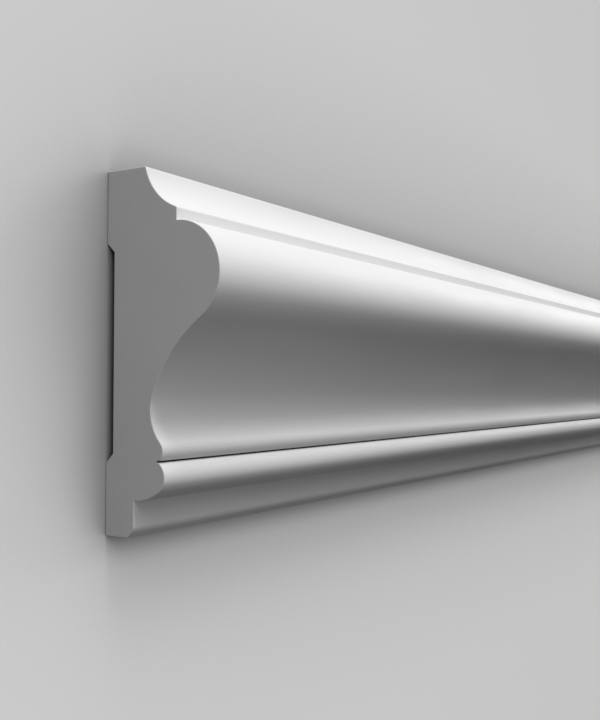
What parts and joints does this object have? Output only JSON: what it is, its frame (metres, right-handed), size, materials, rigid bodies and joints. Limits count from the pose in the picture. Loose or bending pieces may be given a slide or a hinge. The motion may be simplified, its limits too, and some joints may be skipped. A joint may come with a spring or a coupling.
{
  "type": "polystyrene wall cornice moulding",
  "caption": "Long straight wall moulding with a flat relieved back, coved upper edge, bold ovolo, deep scotia, a lip and a bead parted by a fine quirk, and a chamfered foot.",
  "frame": {"origin": "middle of the footprint, on the plane of the two back pads", "axes": "+X along the length, away from the cut end that the picture shows; +Y up the wall, towards the coved upper edge; +Z out of the wall, the show side"},
  "size_m": [2, 0.08, 0.0307],
  "materials": {
    "moulding": "smooth, silky matt white skin of dense extruded polystyrene, with open fine-celled faces where the ends are sawn"
  },
  "bodies": {
    "root": {"moulding": "moulding"}
  },
  "joints": []
}
